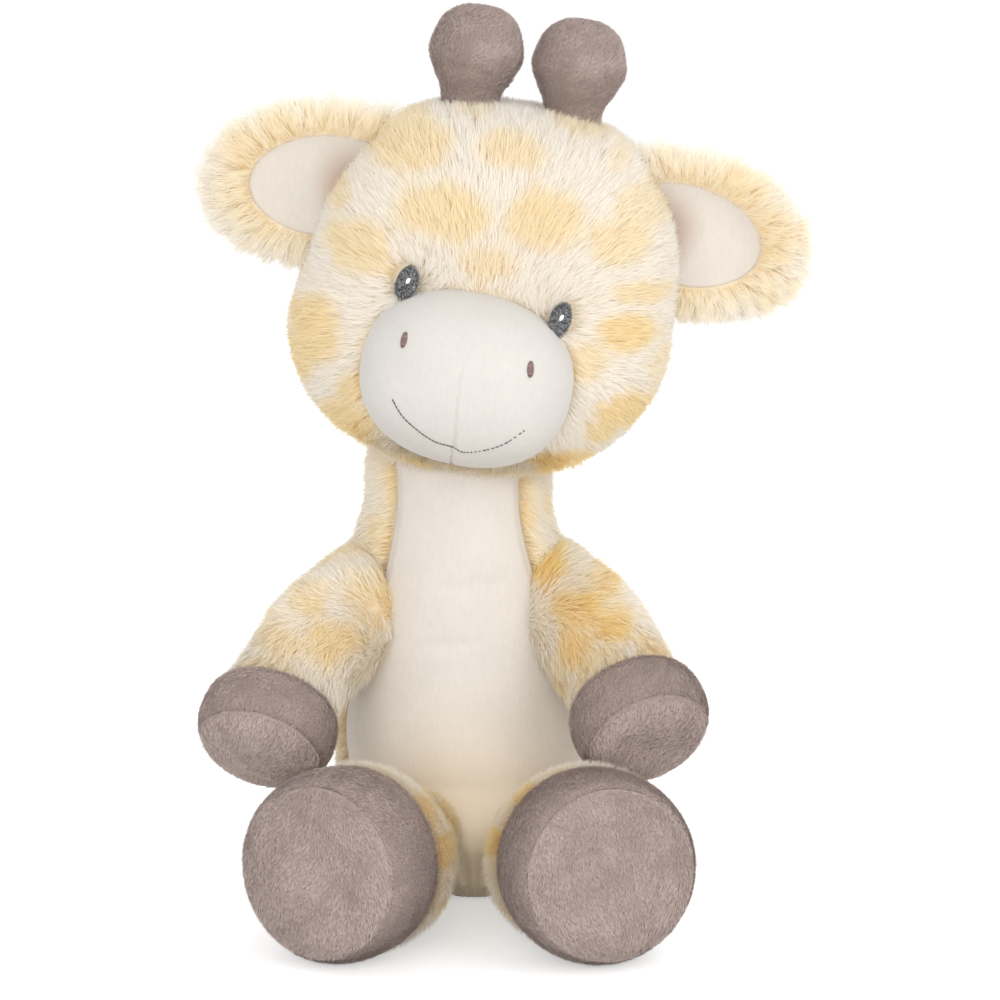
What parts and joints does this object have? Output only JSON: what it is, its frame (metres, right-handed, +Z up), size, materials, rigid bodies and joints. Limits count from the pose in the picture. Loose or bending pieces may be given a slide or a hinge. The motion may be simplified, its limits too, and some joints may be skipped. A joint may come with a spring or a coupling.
{
  "type": "stuffed giraffe",
  "caption": "Sitting stuffed giraffe with long cream fur, a velour belly and muzzle, knobbed horns, dished ears and plush hoofs; its head, ears, limbs and tail turn.",
  "frame": {"origin": "middle of the flat seat under the torso, on the surface that the toy sits on", "axes": "+Z up, -Y the way that the toy faces, +X to the viewer's right; left and right in names are the viewer's"},
  "size_m": [0.2009, 0.1862, 0.3008],
  "materials": {
    "long_fur": "long soft pile, cream with pale-yellow spots",
    "velour": "short off-white velour",
    "short_plush": "short grey-brown pile with a soft sheen",
    "thread": "satin-stitch embroidery",
    "fibre": "loose polyester fibre",
    "pellets": "plastic pellets in a thin bag"
  },
  "bodies": {
    "torso": {"torso_fur_cover": "long_fur", "belly_panel": "velour", "torso_filling": "fibre", "pellet_pouch": "pellets"},
    "head": {"head_fur_cover": "long_fur", "head_filling": "fibre", "muzzle": "velour", "eye_left": "thread", "eye_right": "thread", "nostril_left": "thread", "nostril_right": "thread", "horn_left": "short_plush", "horn_right": "short_plush"},
    "ear_left": {"ear_left_fur": "long_fur", "ear_left_lining": "velour"},
    "ear_right": {"ear_right_fur": "long_fur", "ear_right_lining": "velour"},
    "arm_left": {"arm_left_sleeve": "long_fur", "arm_left_filling": "fibre", "hand_left_band": "short_plush", "hand_left_sole": "short_plush"},
    "arm_right": {"arm_right_sleeve": "long_fur", "arm_right_filling": "fibre", "hand_right_band": "short_plush", "hand_right_sole": "short_plush"},
    "leg_left": {"leg_left_sleeve": "long_fur", "leg_left_filling": "fibre", "foot_left_band": "short_plush", "foot_left_sole": "short_plush"},
    "leg_right": {"leg_right_sleeve": "long_fur", "leg_right_filling": "fibre", "foot_right_band": "short_plush", "foot_right_sole": "short_plush"},
    "tail": {"tail_sleeve": "long_fur", "tail_tuft": "short_plush"}
  },
  "joints": [
    {"name": "neck_turn", "type": "hinge", "parent": "torso", "child": "head", "pos_m": [-0.0052, 0, 0.15], "axis": [0, 0, 1], "range_deg": [-25, 25]},
    {"name": "ear_left_bend", "type": "hinge", "parent": "head", "child": "ear_left", "pos_m": [-0.04833, 0.002, 0.23989], "axis": [0.1392, 0, 0.9903], "range_deg": [-15, 15], "stiffness_Nm_per_rad": 0.02},
    {"name": "ear_right_bend", "type": "hinge", "parent": "head", "child": "ear_right", "pos_m": [0.0705, 0.002, 0.22319], "axis": [0.1392, 0, 0.9903], "range_deg": [-15, 15], "stiffness_Nm_per_rad": 0.02},
    {"name": "arm_left_lift", "type": "hinge", "parent": "torso", "child": "arm_left", "pos_m": [-0.03431, 0, 0.102], "axis": [-1, 0, 0], "range_deg": [0, 45]},
    {"name": "arm_right_lift", "type": "hinge", "parent": "torso", "child": "arm_right", "pos_m": [0.02515, 0, 0.102], "axis": [-1, 0, 0], "range_deg": [0, 45]},
    {"name": "leg_left_drop", "type": "hinge", "parent": "torso", "child": "leg_left", "pos_m": [-0.024, -0.032, 0.023], "axis": [1, 0, 0], "range_deg": [0, 70]},
    {"name": "leg_right_drop", "type": "hinge", "parent": "torso", "child": "leg_right", "pos_m": [0.024, -0.032, 0.023], "axis": [1, 0, 0], "range_deg": [0, 70]},
    {"name": "tail_lift", "type": "hinge", "parent": "torso", "child": "tail", "pos_m": [-0.00107, 0.03802, 0.038], "axis": [1, 0, 0], "range_deg": [0, 50], "stiffness_Nm_per_rad": 0.004}
  ]
}
